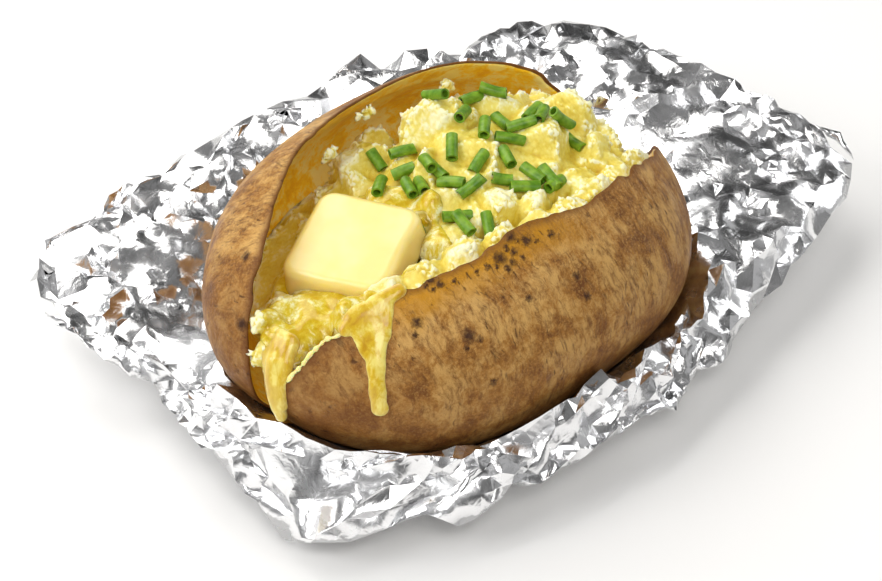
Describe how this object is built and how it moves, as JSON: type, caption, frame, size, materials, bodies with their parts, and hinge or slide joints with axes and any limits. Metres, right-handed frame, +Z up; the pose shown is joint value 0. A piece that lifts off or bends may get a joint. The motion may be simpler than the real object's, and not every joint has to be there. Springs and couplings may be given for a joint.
{
  "type": "baked potato",
  "caption": "Baked potato split lengthwise and opened, with fluffed flesh and a pat of butter, resting in a crumpled foil wrapper.",
  "frame": {"origin": "middle of the foil's flat base, on its underside, below the middle of the potato", "axes": "+X along the potato from its buttered end to its far end, +Y to the tall back wall of the opened skin, +Z up"},
  "size_m": [0.2093, 0.1641, 0.0686],
  "materials": {
    "foil": "bright kitchen foil, crumpled",
    "potato_skin": "baked russet skin, netted and lightly oiled",
    "potato_flesh": "soft fluffed flesh, moist with butter",
    "butter": "soft butter with a faint shine"
  },
  "bodies": {
    "root": {"foil_wrapper": "foil", "potato_shell": "potato_skin", "fluffy_flesh": "potato_flesh", "butter_pat": "butter"}
  },
  "joints": []
}
